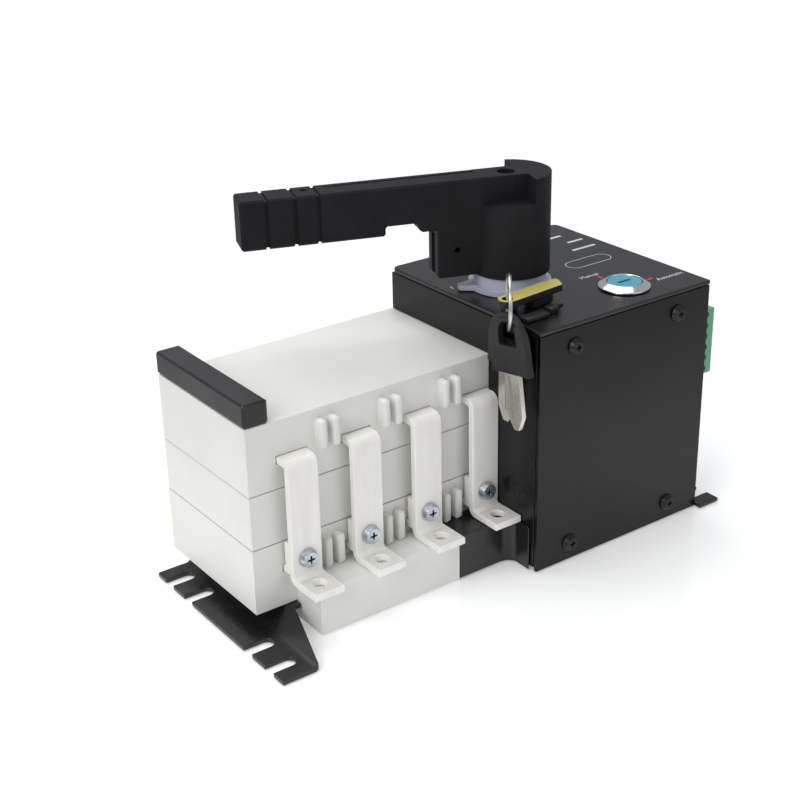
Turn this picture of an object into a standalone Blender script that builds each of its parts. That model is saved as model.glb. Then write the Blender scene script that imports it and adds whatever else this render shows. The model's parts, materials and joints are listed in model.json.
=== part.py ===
"""Four-pole automatic transfer switch: two stacked contact stacks in a white moulded case, a black
sheet-metal drive box at its right end, a lift-off handle on a square shaft, a padlock slide with two
keys on a ring, a key switch and a pluggable terminal strip. Metres, +Z up, standing on its feet."""

import math

import bpy
import bmesh
from mathutils import Matrix, Vector

MM = 0.001

# Clearances
GAP = 0.3 * MM              # between two pieces that touch
RUNNING_GAP = 0.6 * MM      # between a pin and the slot it drives
CONTACT_GAP = 0.5 * MM      # left between blade and fixed contact when closed

# Pole stack, measured from its left end (x), the drive box's front plate (y) and the box's bottom (z)
POLES = 4
POLE_PITCH = 30.0 * MM
END_MARGIN = 5.3 * MM
STACK_FRONT = 32.7 * MM
STACK_DEPTH = 68.2 * MM
STACK_BOTTOM = 8.9 * MM
BASE_LAYER = 28.7 * MM
MIDDLE_LAYER = 23.4 * MM
TOP_LAYER = 29.2 * MM
CASE_WALL = 3.2 * MM
POLE_WALL = 3.0 * MM
END_BAR_SIZE = (11.1 * MM, 9.7 * MM)
LEDGE_FRONT = 15.7 * MM
LEDGE_LEFT = 19.5 * MM
LEDGE_RIGHT = 88.8 * MM
LEDGE_BOTTOM = 0.5 * MM
LEDGE_TOP = 20.7 * MM
FIN_SPREAD = 6.0 * MM
FIN_SIZE = (2.0 * MM, 4.2 * MM)
TOP_FIN = (74.0 * MM, 85.0 * MM)
LOW_FIN_HEIGHT = 6.0 * MM

# Conductors
BAR_WIDTH = 13.7 * MM
BAR_THICK = 3.0 * MM
BAR_FRONT = 25.0 * MM
BAR_BEND = 4.0 * MM
TAB_FRONT = 9.5 * MM
TAB_HOLE = 3.0 * MM
TAB_HOLE_INSET = 7.4 * MM
LINK_SCREW_RISE = 4.5 * MM  # screw above the lower load terminal's upper face
SUPPLY_BACK = 109.0 * MM
SUPPLY_HOLE = 2.6 * MM
FIXED_REACH = 13.0 * MM     # how far a fixed contact reaches into its chamber
BLADE_HALF = 20.0 * MM
BLADE_WIDTH = 10.0 * MM
BLADE_THICK = 3.0 * MM
CARRIER_RADIUS = 7.0 * MM
JOURNAL_RADIUS = 4.0 * MM
SWING = math.radians(45.0)  # handle, each side of its middle position
REST_TURN = math.radians(-20.0)
CARRIER_RATIO = -0.5

# Drive box
BOX_LEFT = 117.3 * MM
BOX_WIDTH = 96.0 * MM
BOX_DEPTH = 99.8 * MM
BOX_TOP = 109.8 * MM
SHEET = 1.5 * MM
COVER_SHEET = 2.0 * MM
COVER_CORNER = 3.0 * MM
STRIP_HEIGHT = 9.0 * MM
SCREW_INSET_X = 19.0 * MM
SCREW_INSET_Z = 8.5 * MM
SCREW_HEAD = 4.0 * MM

# Feet
FOOT_BOTTOM = 0.0
FOOT_SHEET = 2.0 * MM
FOOT_REACH = 10.6 * MM
FLANGE_REACH = 11.7 * MM
FOOT_FRONT = -3.2 * MM
FOOT_WIDTH = 100.0 * MM
SLOT_WIDTH = 6.2 * MM
SLOT_LENGTH = 11.8 * MM
SLOT_SPACINGS = (79.6 * MM, 47.8 * MM)

# Shaft, handle, indicator
SHAFT_X = 143.5 * MM
SHAFT_SIDE = 8.0 * MM
HUB_RADIUS = 16.8 * MM
HUB_BOTTOM = 117.5 * MM
HUB_LEDGE = 148.8 * MM
ARM_LENGTH = 115.3 * MM
ARM_WIDTH = 14.0 * MM
ARM_BOTTOM = 139.5 * MM
ARM_TOP = 160.0 * MM
ARM_DIRECTION = math.radians(160.0)
LUG_REACH = 34.0 * MM
LUG_BOTTOM = 118.5 * MM
RING_RADIUS = 17.7 * MM
RING_COLLAR = 15.5 * MM
POINTER_REACH = 23.0 * MM
CRANK_RADIUS = 10.0 * MM
PIN_RADIUS = 1.5 * MM
LINK_TRAVEL = 9.0 * MM      # slide of the link bar for one radian of the handle

# Key switch, padlock slide, keys
KEY_SWITCH = (179.0 * MM, 17.0 * MM)
BEZEL_RADIUS = 11.2 * MM
BARREL_RADIUS = 8.0 * MM
BARREL_LENGTH = 22.0 * MM
LOCK_EYE = (119.3 * MM, 22.6 * MM)
LOCK_TOP = 117.2 * MM
LOCK_THICK = 3.0 * MM
LOCK_LENGTH = 31.0 * MM
LOCK_WIDTH = 8.0 * MM
LOCK_ANGLE = math.radians(5.0)
RING_CENTRE = (113.0 * MM, 14.2 * MM, 119.5 * MM)
KEY_RING_RADIUS = 11.0 * MM
KEY_WIRE = 0.9 * MM
KEY_THICK = 3.0 * MM
KEY_HEAD = (21.6 * MM, 23.4 * MM)
KEY_BLADE = (9.4 * MM, 24.0 * MM, 2.0 * MM)
KEY_TILTS = (math.radians(-9.0), 0.0)

# Terminal strip on the right wall
STRIP_WAYS = 6
STRIP_PITCH = 5.08 * MM
STRIP_Z = 62.3 * MM
STRIP_Y = 6.0 * MM
STRIP_DEPTH = 12.0 * MM
PLUG_REACH = 10.4 * MM

# Places worked out from the sizes above
STACK_LENGTH = END_MARGIN + POLES * POLE_PITCH
STACK_BACK = STACK_FRONT + STACK_DEPTH
MIDDLE_BOTTOM = STACK_BOTTOM + BASE_LAYER
TOP_BOTTOM = MIDDLE_BOTTOM + MIDDLE_LAYER
STACK_TOP = TOP_BOTTOM + TOP_LAYER
STACK_MIDDLE = (STACK_BOTTOM + STACK_TOP) / 2
QUARTER = (STACK_TOP - STACK_BOTTOM) / 4
LOWER_AXIS = STACK_MIDDLE - QUARTER
UPPER_AXIS = STACK_MIDDLE + QUARTER
AXIS_Y = (STACK_FRONT + STACK_BACK) / 2
BOX_RIGHT = BOX_LEFT + BOX_WIDTH
SHAFT_Y = BOX_DEPTH / 2
CRANK_DROP = LINK_TRAVEL * SWING / math.sin(SWING / 2)
LINK_OFFSET = -LINK_TRAVEL * REST_TURN
TOUCH = BLADE_THICK / 2 + CONTACT_GAP
UPPER_LOAD_Z = UPPER_AXIS + TOUCH
UPPER_SUPPLY_Z = UPPER_AXIS - TOUCH - BAR_THICK
LOWER_LOAD_Z = LOWER_AXIS - TOUCH - BAR_THICK
LOWER_SUPPLY_Z = LOWER_AXIS + TOUCH
LINK_SCREW_Z = LOWER_LOAD_Z + BAR_THICK + LINK_SCREW_RISE
FOOT_LEFT = -FOOT_REACH
FLANGE_RIGHT = BOX_RIGHT + FLANGE_REACH
FOOT_MIDDLE = FOOT_FRONT + FOOT_WIDTH / 2
FRAME_OFFSET = Vector(
    (-(FOOT_LEFT + FLANGE_RIGHT) / 2, -(FOOT_FRONT + SUPPLY_BACK) / 2, -FOOT_BOTTOM)
)

FINISHES = {
    "white_moulding": ((0.74, 0.76, 0.72), 0.42, 0.0),
    "black_moulding": ((0.035, 0.035, 0.038), 0.45, 0.0),
    "handle_black": ((0.03, 0.03, 0.033), 0.55, 0.0),
    "black_paint": ((0.018, 0.018, 0.019), 0.22, 0.0),
    "tinned_copper": ((0.83, 0.81, 0.77), 0.32, 1.0),
    "zinc_screw": ((0.55, 0.6, 0.66), 0.3, 1.0),
    "black_screw": ((0.02, 0.02, 0.02), 0.3, 0.6),
    "bright_steel": ((0.62, 0.62, 0.6), 0.3, 1.0),
    "copper": ((0.72, 0.36, 0.2), 0.35, 1.0),
    "lavender_plastic": ((0.5, 0.49, 0.58), 0.35, 0.0),
    "green_plastic": ((0.12, 0.4, 0.2), 0.4, 0.0),
    "yellow_plastic": ((0.75, 0.62, 0.05), 0.4, 0.0),
    "blue_face": ((0.1, 0.42, 0.62), 0.35, 0.0),
    "chrome": ((0.75, 0.75, 0.76), 0.12, 1.0),
    "board_green": ((0.03, 0.2, 0.09), 0.5, 0.0),
}


def clear_scene():
    for obj in list(bpy.data.objects):
        bpy.data.objects.remove(obj, do_unlink=True)


def new_collection(name):
    made = bpy.data.collections.new(name)
    bpy.context.scene.collection.children.link(made)
    return made


def finish_of(name):
    found = bpy.data.materials.get(name)
    if found:
        return found
    colour, roughness, metallic = FINISHES[name]
    made = bpy.data.materials.new(name)
    made.use_nodes = True
    shader = made.node_tree.nodes["Principled BSDF"]
    shader.inputs["Base Color"].default_value = (*colour, 1.0)
    shader.inputs["Roughness"].default_value = roughness
    shader.inputs["Metallic"].default_value = metallic
    return made


clear_scene()
PARTS = new_collection("automatic_transfer_switch")
CUTTERS = new_collection("cutters")
CUTTERS.hide_render = True
FRAME = bpy.data.objects.new("switch_frame", None)
FRAME.location = FRAME_OFFSET
PARTS.objects.link(FRAME)


def add(name, mesh, finish=None):
    """A sub-part with its finish, or a cutter when it has none."""
    obj = bpy.data.objects.new(name, mesh)
    obj.parent = FRAME
    if finish:
        mesh.materials.append(finish_of(finish))
        PARTS.objects.link(obj)
    else:
        CUTTERS.objects.link(obj)
        obj.hide_render = True
        obj.display_type = "WIRE"
    return obj


def box(name, low, high, finish=None):
    low, high = Vector(low), Vector(high)
    cage = bmesh.new()
    bmesh.ops.create_cube(cage, size=1.0)
    bmesh.ops.scale(cage, vec=high - low, verts=cage.verts)
    bmesh.ops.translate(cage, vec=(low + high) / 2, verts=cage.verts)
    mesh = bpy.data.meshes.new(name)
    cage.to_mesh(mesh)
    cage.free()
    return add(name, mesh, finish)


AXIS_TURNS = {
    "X": Matrix.Rotation(math.pi / 2, 4, "Y"),
    "Y": Matrix.Rotation(-math.pi / 2, 4, "X"),
    "Z": Matrix.Identity(4),
}


def rod(name, start, radius, length, axis, finish=None, segments=24, end_radius=None):
    """A cylinder or cone that starts at a point and runs along an axis."""
    cage = bmesh.new()
    end = radius if end_radius is None else end_radius
    bmesh.ops.create_cone(
        cage, cap_ends=True, segments=segments, radius1=radius, radius2=end, depth=length
    )
    bmesh.ops.translate(cage, vec=(0, 0, length / 2), verts=cage.verts)
    place = Matrix.Translation(Vector(start)) @ AXIS_TURNS[axis]
    bmesh.ops.transform(cage, matrix=place, verts=cage.verts)
    mesh = bpy.data.meshes.new(name)
    cage.to_mesh(mesh)
    cage.free()
    mesh.shade_smooth()
    mesh.set_sharp_from_angle(angle=math.radians(40))
    return add(name, mesh, finish)


def arc(centre, radius, start, end, steps):
    """Points on an arc, angles in degrees."""
    angles = [math.radians(start + (end - start) * i / steps) for i in range(steps + 1)]
    return [(centre[0] + radius * math.cos(a), centre[1] + radius * math.sin(a)) for a in angles]


def plate(name, outline, thickness, place, finish=None, holes=()):
    """A flat outline, with holes, extruded both ways from the plane that place puts it in."""
    curve = bpy.data.curves.new(name, "CURVE")
    curve.dimensions = "2D"
    curve.fill_mode = "BOTH"
    curve.extrude = thickness / 2
    for loop in (outline, *holes):
        spline = curve.splines.new("POLY")
        spline.points.add(len(loop) - 1)
        for point, (x, y) in zip(spline.points, loop):
            point.co = (x, y, 0, 1)
        spline.use_cyclic_u = True
    guide = bpy.data.objects.new(name + "_outline", curve)
    CUTTERS.objects.link(guide)
    bpy.context.view_layer.update()
    mesh = bpy.data.meshes.new_from_object(guide.evaluated_get(bpy.context.evaluated_depsgraph_get()))
    bpy.data.objects.remove(guide)
    cage = bmesh.new()
    cage.from_mesh(mesh)
    bmesh.ops.remove_doubles(cage, verts=cage.verts, dist=0.01 * MM)
    bmesh.ops.transform(cage, matrix=place, verts=cage.verts)
    bmesh.ops.recalc_face_normals(cage, faces=cage.faces)
    cage.to_mesh(mesh)
    cage.free()
    mesh.name = name
    mesh.materials.clear()
    return add(name, mesh, finish)


# Planes for plates: outline (x, z) facing front, outline (y, z) facing right, outline (x, y) facing up
FACING_FRONT = Matrix.Rotation(math.pi / 2, 4, "X")
FACING_RIGHT = Matrix(((0, 0, 1, 0), (1, 0, 0, 0), (0, 1, 0, 0), (0, 0, 0, 1)))


def at_x(x):
    return Matrix.Translation((x, 0, 0)) @ FACING_RIGHT


def at_y(y):
    return Matrix.Translation((0, y, 0)) @ FACING_FRONT


def at_z(z):
    return Matrix.Translation((0, 0, z))


def cut(obj, *tools):
    for tool in tools:
        boolean(obj, tool, "DIFFERENCE")
    return obj


def join(obj, *others):
    for other in others:
        boolean(obj, other, "UNION")
    return obj


def boolean(obj, other, operation):
    other.parent = obj.parent
    other.matrix_parent_inverse = obj.matrix_parent_inverse.copy()
    modifier = obj.modifiers.new(operation.lower(), "BOOLEAN")
    modifier.operation = operation
    modifier.object = other


def soften(obj, width, segments=1, angle=30):
    bevel = obj.modifiers.new("softened_edges", "BEVEL")
    bevel.width = width
    bevel.segments = segments
    bevel.limit_method = "ANGLE"
    bevel.angle_limit = math.radians(angle)
    return obj


def turned(name, profile, centre, finish, steps=32):
    """A profile of (radius, height) pairs, outer side from top to bottom, turned about an upright axis."""
    mesh = bpy.data.meshes.new(name)
    points = [(radius, 0, height) for radius, height in profile]
    count = len(points)
    mesh.from_pydata(points, [(i, (i + 1) % count) for i in range(count)], [])
    obj = add(name, mesh, finish)
    obj.location = (*centre, 0)
    screw = obj.modifiers.new("turned", "SCREW")
    screw.steps = screw.render_steps = steps
    screw.use_merge_vertices = True
    screw.merge_threshold = 0.01 * MM
    return obj


def axis_empty(name, point, parent=None):
    """An empty on a joint's axis, which the joint's pieces hang from."""
    empty = bpy.data.objects.new(name, None)
    empty.parent = parent or FRAME
    offset = Vector(parent["place"]) if parent else Vector()
    empty.location = Vector(point) - offset
    empty["place"] = list(point)
    PARTS.objects.link(empty)
    return empty


def hang(empty, *pieces):
    """Pieces keep their place, and their cutters follow them."""
    for piece in pieces:
        piece.parent = empty
        piece.matrix_parent_inverse = Matrix.Translation(-Vector(empty["place"]))
        for modifier in piece.modifiers:
            if modifier.type == "BOOLEAN":
                modifier.object.parent = empty
                modifier.object.matrix_parent_inverse = piece.matrix_parent_inverse.copy()


def pole_x(pole):
    return END_MARGIN + (pole + 0.5) * POLE_PITCH


# The white case of three mouldings


def chambers(name, bottom, top):
    """One arc chamber a pole, between the case's walls."""
    half = (POLE_PITCH - POLE_WALL) / 2
    front, back = STACK_FRONT + CASE_WALL, STACK_BACK - CASE_WALL
    return [
        box(f"{name}_{pole}", (pole_x(pole) - half, front, bottom), (pole_x(pole) + half, back, top))
        for pole in range(POLES)
    ]


def conductor_slots(name, bottom, front):
    """A slot a pole through the front or back wall, for a bar lying at this height."""
    low, high = (STACK_FRONT - GAP, STACK_FRONT + CASE_WALL + GAP)
    if not front:
        low, high = (STACK_BACK - CASE_WALL - GAP, STACK_BACK + GAP)
    half = BAR_WIDTH / 2 + GAP
    return [
        box(
            f"{name}_{pole}",
            (pole_x(pole) - half, low, bottom - GAP),
            (pole_x(pole) + half, high, bottom + BAR_THICK + GAP),
        )
        for pole in range(POLES)
    ]


def carrier_ways(name, axis_z, bottom, top):
    """The way for a contact carrier through the pole walls, and for its journal through the end wall."""
    wide, narrow = CARRIER_RADIUS + RUNNING_GAP, JOURNAL_RADIUS + GAP
    low, high = max(bottom, axis_z - wide), min(top, axis_z + wide)
    inner = box(
        f"{name}_ways",
        (pole_x(0), AXIS_Y - wide, low),
        (pole_x(POLES - 1), AXIS_Y + wide, high),
    )
    low, high = max(bottom, axis_z - narrow), min(top, axis_z + narrow)
    end = box(
        f"{name}_end",
        (pole_x(POLES - 1), AXIS_Y - narrow, low),
        (STACK_LENGTH + GAP, AXIS_Y + narrow, high),
    )
    return [inner, end]


def fins(name, bottom, top):
    """A pair of upright fins at each pole boundary, which hold a phase barrier."""
    made = []
    for pole in range(1, POLES):
        boundary = END_MARGIN + pole * POLE_PITCH
        for side in (-1, 1):
            x = boundary + side * FIN_SPREAD / 2
            low = (x - FIN_SIZE[0] / 2, STACK_FRONT - FIN_SIZE[1], bottom)
            high = (x + FIN_SIZE[0] / 2, STACK_FRONT + CASE_WALL / 2, top)
            made.append(box(f"{name}_{pole}_{side}", low, high))
    return made


def pole_base():
    body = box(
        "pole_base_moulding",
        (0, STACK_FRONT, STACK_BOTTOM),
        (STACK_LENGTH, STACK_BACK, MIDDLE_BOTTOM - GAP / 2),
        "white_moulding",
    )
    ledge = box(
        "ledge",
        (LEDGE_LEFT, LEDGE_FRONT, LEDGE_BOTTOM),
        (LEDGE_RIGHT, STACK_FRONT + CASE_WALL, LEDGE_TOP),
    )
    join(body, ledge, *fins("low_fin", LEDGE_TOP + GAP, LEDGE_TOP + LOW_FIN_HEIGHT))
    cut(body, *chambers("base_chamber", STACK_BOTTOM + CASE_WALL, MIDDLE_BOTTOM))
    cut(body, *carrier_ways("lower_carrier", LOWER_AXIS, STACK_BOTTOM, MIDDLE_BOTTOM))
    cut(body, *conductor_slots("lower_load", LOWER_LOAD_Z, True))
    cut(body, *conductor_slots("lower_supply", LOWER_SUPPLY_Z, False))


def pole_middle():
    body = box(
        "pole_middle_moulding",
        (0, STACK_FRONT, MIDDLE_BOTTOM + GAP / 2),
        (STACK_LENGTH, STACK_BACK, TOP_BOTTOM - GAP / 2),
        "white_moulding",
    )
    cut(body, *chambers("middle_low_chamber", MIDDLE_BOTTOM, STACK_MIDDLE - POLE_WALL / 2))
    cut(body, *chambers("middle_high_chamber", STACK_MIDDLE + POLE_WALL / 2, TOP_BOTTOM))


def pole_top():
    body = box(
        "pole_top_moulding",
        (0, STACK_FRONT, TOP_BOTTOM + GAP / 2),
        (STACK_LENGTH, STACK_BACK, STACK_TOP),
        "white_moulding",
    )
    join(body, *fins("top_fin", *TOP_FIN))
    cut(body, *chambers("top_chamber", TOP_BOTTOM, STACK_TOP - CASE_WALL))
    cut(body, *carrier_ways("upper_carrier", UPPER_AXIS, TOP_BOTTOM, STACK_TOP))
    cut(body, *conductor_slots("upper_load", UPPER_LOAD_Z, True))
    cut(body, *conductor_slots("upper_supply", UPPER_SUPPLY_Z, False))


def end_bar():
    low = (-GAP, STACK_FRONT - GAP, STACK_TOP + GAP)
    high = (END_BAR_SIZE[0] - GAP, STACK_BACK, STACK_TOP + GAP + END_BAR_SIZE[1])
    soften(box("end_bar", low, high, "black_moulding"), 0.8 * MM)


def link_side_block():
    """Black block that carries on the ledge to the drive box, with a hollow corner where it meets it."""
    left, right, back = LEDGE_RIGHT + GAP, BOX_LEFT - GAP, STACK_FRONT - GAP
    corner = 6.0 * MM
    hollow = arc((right - corner, LEDGE_FRONT - corner), corner, 90, 0, 6)
    lip = [(right, LEDGE_FRONT - corner - 6.0 * MM), (right, back), (left, back), (left, LEDGE_FRONT)]
    height = LEDGE_TOP - LEDGE_BOTTOM
    middle = (LEDGE_TOP + LEDGE_BOTTOM) / 2
    plate("link_side_block", hollow[:-1] + [(right - 0.8 * MM, lip[0][1])] + lip, height, at_z(middle),
          "black_paint")


# Conductors


def load_link(pole):
    """Silver-plated bar from the upper load contact down to the tab that takes the load cable."""
    back, top, low = BAR_FRONT + BAR_THICK, UPPER_LOAD_Z + BAR_THICK, LOWER_LOAD_Z - GAP - BAR_THICK
    inner = 0.8 * MM
    outline = [(TAB_FRONT, low)]
    outline += arc((back - BAR_BEND, low + BAR_BEND), BAR_BEND, -90, 0, 5)
    outline += arc((back + inner, UPPER_LOAD_Z - inner), inner, 180, 90, 2)
    outline += [(STACK_FRONT + CASE_WALL + FIXED_REACH, UPPER_LOAD_Z)]
    outline += [(STACK_FRONT + CASE_WALL + FIXED_REACH, top)]
    outline += arc((BAR_FRONT + BAR_BEND, top - BAR_BEND), BAR_BEND, 90, 180, 5)
    outline += arc((BAR_FRONT - inner, low + BAR_THICK + inner), inner, 0, -90, 2)
    outline += [(TAB_FRONT, low + BAR_THICK)]
    name = f"load_link_{pole + 1}"
    link = plate(name, outline, BAR_WIDTH, at_x(pole_x(pole)), "tinned_copper")
    hole = (pole_x(pole), TAB_FRONT + TAB_HOLE_INSET, low - GAP)
    cut(link, rod(name + "_tab_hole", hole, TAB_HOLE, BAR_THICK + 2 * GAP, "Z", segments=16))
    hole = (pole_x(pole), BAR_FRONT - GAP, LINK_SCREW_Z)
    cut(link, rod(name + "_screw_hole", hole, 2.9 * MM, BAR_THICK + 2 * GAP, "Y", segments=16))


def load_terminal(pole):
    """Lower load contact with an upright lug, which the bar is screwed to."""
    front, top = BAR_FRONT + BAR_THICK + GAP, LINK_SCREW_Z + 6.5 * MM
    back = STACK_FRONT + CASE_WALL + FIXED_REACH
    outline = [
        (front, LOWER_LOAD_Z),
        (back, LOWER_LOAD_Z),
        (back, LOWER_LOAD_Z + BAR_THICK),
        (front + BAR_THICK, LOWER_LOAD_Z + BAR_THICK),
        (front + BAR_THICK, top),
        (front, top),
    ]
    name = f"load_terminal_{pole + 1}"
    lug = plate(name, outline, BAR_WIDTH - 2 * GAP, at_x(pole_x(pole)), "tinned_copper")
    hole = (pole_x(pole), front - GAP, LINK_SCREW_Z)
    cut(lug, rod(name + "_hole", hole, 2.9 * MM, BAR_THICK + 2 * GAP, "Y", segments=16))


def load_screw(pole):
    """Pan-head screw through the bar and the lug behind it."""
    head = 2.6 * MM
    name = f"load_screw_{pole + 1}"
    start = (pole_x(pole), BAR_FRONT - GAP - head, LINK_SCREW_Z)
    screw = rod(name, start, 3.4 * MM, head, "Y", "zinc_screw", 24, 4.2 * MM)
    shank = (pole_x(pole), BAR_FRONT - GAP - head / 2, LINK_SCREW_Z)
    length = head / 2 + GAP + 2 * BAR_THICK + 2 * GAP
    join(screw, rod(name + "_shank", shank, 2.5 * MM, length, "Y", segments=16))
    for size in ((3.4 * MM, 0.7 * MM), (0.7 * MM, 3.4 * MM)):
        low = (start[0] - size[0] / 2, start[1] - GAP, start[2] - size[1] / 2)
        high = (start[0] + size[0] / 2, start[1] + 1.3 * MM, start[2] + size[1] / 2)
        cut(screw, box(f"{name}_cross_{size[0] > size[1]}", low, high))


def supply_terminal(name, pole, bottom):
    """Supply contact that comes out through the back wall, with a hole for the supply cable's lug."""
    half = BAR_WIDTH / 2
    front = STACK_BACK - CASE_WALL - FIXED_REACH
    chamfer = 1.5 * MM
    x = pole_x(pole)
    outline = [
        (x - half, front),
        (x + half, front),
        (x + half, SUPPLY_BACK - chamfer),
        (x + half - chamfer, SUPPLY_BACK),
        (x - half + chamfer, SUPPLY_BACK),
        (x - half, SUPPLY_BACK - chamfer),
    ]
    bar = plate(name, outline, BAR_THICK, at_z(bottom + BAR_THICK / 2), "tinned_copper")
    hole = (x, (STACK_BACK + SUPPLY_BACK) / 2, bottom - GAP)
    cut(bar, rod(name + "_hole", hole, SUPPLY_HOLE, BAR_THICK + 2 * GAP, "Z", segments=16))


# Contact carriers, turning about X


def carrier(name, axis_z, crank_angle, empty):
    """Moulded carrier through all the poles, with its journal and crank in the drive box."""
    start = (pole_x(0) - BLADE_WIDTH, AXIS_Y, axis_z)
    length = pole_x(POLES - 1) - pole_x(0) + 2 * BLADE_WIDTH
    body = rod(name, start, CARRIER_RADIUS, length, "X", "black_moulding", 20)
    crank_left = STACK_LENGTH + 2 * GAP
    crank_right = crank_left + 2.2 * MM
    journal_start = start[0] + length - GAP
    journal = (journal_start, AXIS_Y, axis_z)
    join(body, rod(name + "_journal", journal, JOURNAL_RADIUS, crank_right - journal_start, "X"))
    turn = Matrix.Translation((0, AXIS_Y, axis_z)) @ Matrix.Rotation(crank_angle, 4, "X")
    arm = box(name + "_arm", (crank_left, -3 * MM, -CRANK_DROP - 3 * MM), (crank_right, 3 * MM, 0))
    pin = rod(name + "_pin", (crank_left, 0, -CRANK_DROP), PIN_RADIUS, 7.2 * MM, "X", segments=12)
    for piece in (arm, pin):
        piece.data.transform(turn)
        join(body, piece)
    hang(empty, body)
    return body


def moving_contacts(name, body, axis_z, angle, empty):
    """A copper blade a pole through the carrier, closing front and back contacts at once."""
    for pole in range(POLES):
        x = pole_x(pole)
        turn = Matrix.Translation((x, AXIS_Y, axis_z)) @ Matrix.Rotation(angle, 4, "X")
        half = Vector((BLADE_WIDTH / 2, BLADE_HALF, BLADE_THICK / 2))
        slack = half + Vector((GAP, GAP, GAP))
        blade = box(f"{name}_{pole + 1}", -half, half, "copper")
        slot = box(f"{name}_slot_{pole}", -slack, slack)
        for piece in (blade, slot):
            piece.data.transform(turn)
        soften(blade, 0.4 * MM)
        cut(body, slot)
        hang(empty, blade)
        slot.parent = body.parent
        slot.matrix_parent_inverse = body.matrix_parent_inverse.copy()


# Feet and drive box


def foot_slots(name, mouth_x, direction):
    """Open-ended slots for the fixing screws, cut in from the foot's outer edge."""
    made = []
    for spacing in SLOT_SPACINGS:
        for side in (-1, 1):
            y = FOOT_MIDDLE + side * spacing / 2
            end = mouth_x + direction * (SLOT_LENGTH - SLOT_WIDTH / 2)
            sides = sorted((mouth_x - direction * GAP, end))
            low = (sides[0], y - SLOT_WIDTH / 2, FOOT_BOTTOM - GAP)
            high = (sides[1], y + SLOT_WIDTH / 2, FOOT_BOTTOM + FOOT_SHEET + GAP)
            made.append(box(f"{name}_{spacing:.3f}_{side}", low, high))
            start = (end, y, low[2])
            made.append(rod(f"{name}_end_{spacing:.3f}_{side}", start, SLOT_WIDTH / 2, high[2] - low[2], "Z",
                            segments=16))
    return made


def left_foot():
    """Pressed foot: a slotted flange on the floor, a sloping web, and a plate under the stack."""
    plate_top = STACK_BOTTOM - GAP
    web_low, web_high = 3.4 * MM, 13.5 * MM
    end = LEDGE_LEFT - 2 * GAP
    outline = [
        (FOOT_LEFT, FOOT_BOTTOM),
        (web_low + FOOT_SHEET / 2, FOOT_BOTTOM),
        (web_high + FOOT_SHEET / 2, plate_top - FOOT_SHEET),
        (end, plate_top - FOOT_SHEET),
        (end, plate_top),
        (web_high, plate_top),
        (web_low, FOOT_BOTTOM + FOOT_SHEET),
        (FOOT_LEFT, FOOT_BOTTOM + FOOT_SHEET),
    ]
    foot = plate("left_foot", outline, FOOT_WIDTH, at_y(FOOT_MIDDLE), "black_paint")
    clipped = [
        (web_low + 2 * MM, FOOT_FRONT - GAP),
        (web_high + 2 * MM, STACK_FRONT - 3 * MM),
        (end + 5 * MM, STACK_FRONT - 3 * MM),
        (end + 5 * MM, FOOT_FRONT - GAP),
    ]
    cut(foot, plate("left_foot_clip", clipped, 40 * MM, at_z(0)), *foot_slots("left_slot", FOOT_LEFT, 1))


def base_plate():
    """Floor of the drive box, carried on to the right as a slotted flange."""
    base = box(
        "drive_base_plate",
        (STACK_LENGTH + GAP, SHEET + GAP, FOOT_BOTTOM),
        (BOX_RIGHT + 3 * MM, FOOT_FRONT + FOOT_WIDTH, FOOT_BOTTOM + FOOT_SHEET - GAP),
        "black_paint",
    )
    flange = box(
        "flange",
        (BOX_RIGHT, FOOT_FRONT, FOOT_BOTTOM),
        (FLANGE_RIGHT, FOOT_FRONT + FOOT_WIDTH, FOOT_BOTTOM + FOOT_SHEET - GAP),
    )
    boss = rod("shaft_boss", (SHAFT_X, SHAFT_Y, FOOT_BOTTOM), 9 * MM, 9 * MM, "Z")
    bore = rod("shaft_boss_bore", (SHAFT_X, SHAFT_Y, FOOT_BOTTOM + FOOT_SHEET), 6.2 * MM, 9 * MM, "Z")
    join(base, flange, boss)
    cut(base, bore, *foot_slots("right_slot", FLANGE_RIGHT, -1))


def terminal_window():
    low, high = STRIP_Z - GAP, STRIP_Z + STRIP_WAYS * STRIP_PITCH + GAP
    return (BOX_RIGHT - SHEET - GAP, STRIP_Y - GAP, low), (BOX_RIGHT + GAP, STRIP_Y + STRIP_DEPTH + GAP, high)


def housing():
    """Folded sheet walls: left, back and right, with two strips that take the front plate's screws."""
    wall_top = BOX_TOP - COVER_SHEET - GAP
    low = (BOX_LEFT, SHEET + GAP, FOOT_SHEET)
    body = box("drive_housing", low, (BOX_RIGHT, BOX_DEPTH, wall_top), "black_paint")
    inside = box(
        "housing_inside",
        (BOX_LEFT + SHEET, 0, -GAP),
        (BOX_RIGHT - SHEET, BOX_DEPTH - SHEET, wall_top + GAP),
    )
    stack_way = box(
        "stack_way",
        (BOX_LEFT - GAP, STACK_FRONT - 2 * GAP, -GAP),
        (STACK_LENGTH + GAP, STACK_BACK + GAP, STACK_TOP + GAP),
    )
    cut(body, inside, stack_way, box("terminal_window", *terminal_window()))
    for index, z in enumerate(screw_rows()):
        low = (BOX_LEFT + SHEET / 2, SHEET + GAP, z - STRIP_HEIGHT / 2)
        high = (BOX_RIGHT - SHEET / 2, 2 * SHEET + GAP, z + STRIP_HEIGHT / 2)
        join(body, box(f"front_strip_{index}", low, high))
    cut(body, *screw_holes("strip_hole", SHEET, 2 * SHEET))


def screw_rows():
    return SCREW_INSET_Z, BOX_TOP - COVER_SHEET - SCREW_INSET_Z


def screw_columns():
    return BOX_LEFT + SCREW_INSET_X, BOX_RIGHT - SCREW_INSET_X


def screw_holes(name, start_y, depth):
    return [
        rod(f"{name}_{i}_{j}", (x, start_y, z), 2.1 * MM, depth, "Y", segments=12)
        for i, x in enumerate(screw_columns())
        for j, z in enumerate(screw_rows())
    ]


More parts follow.
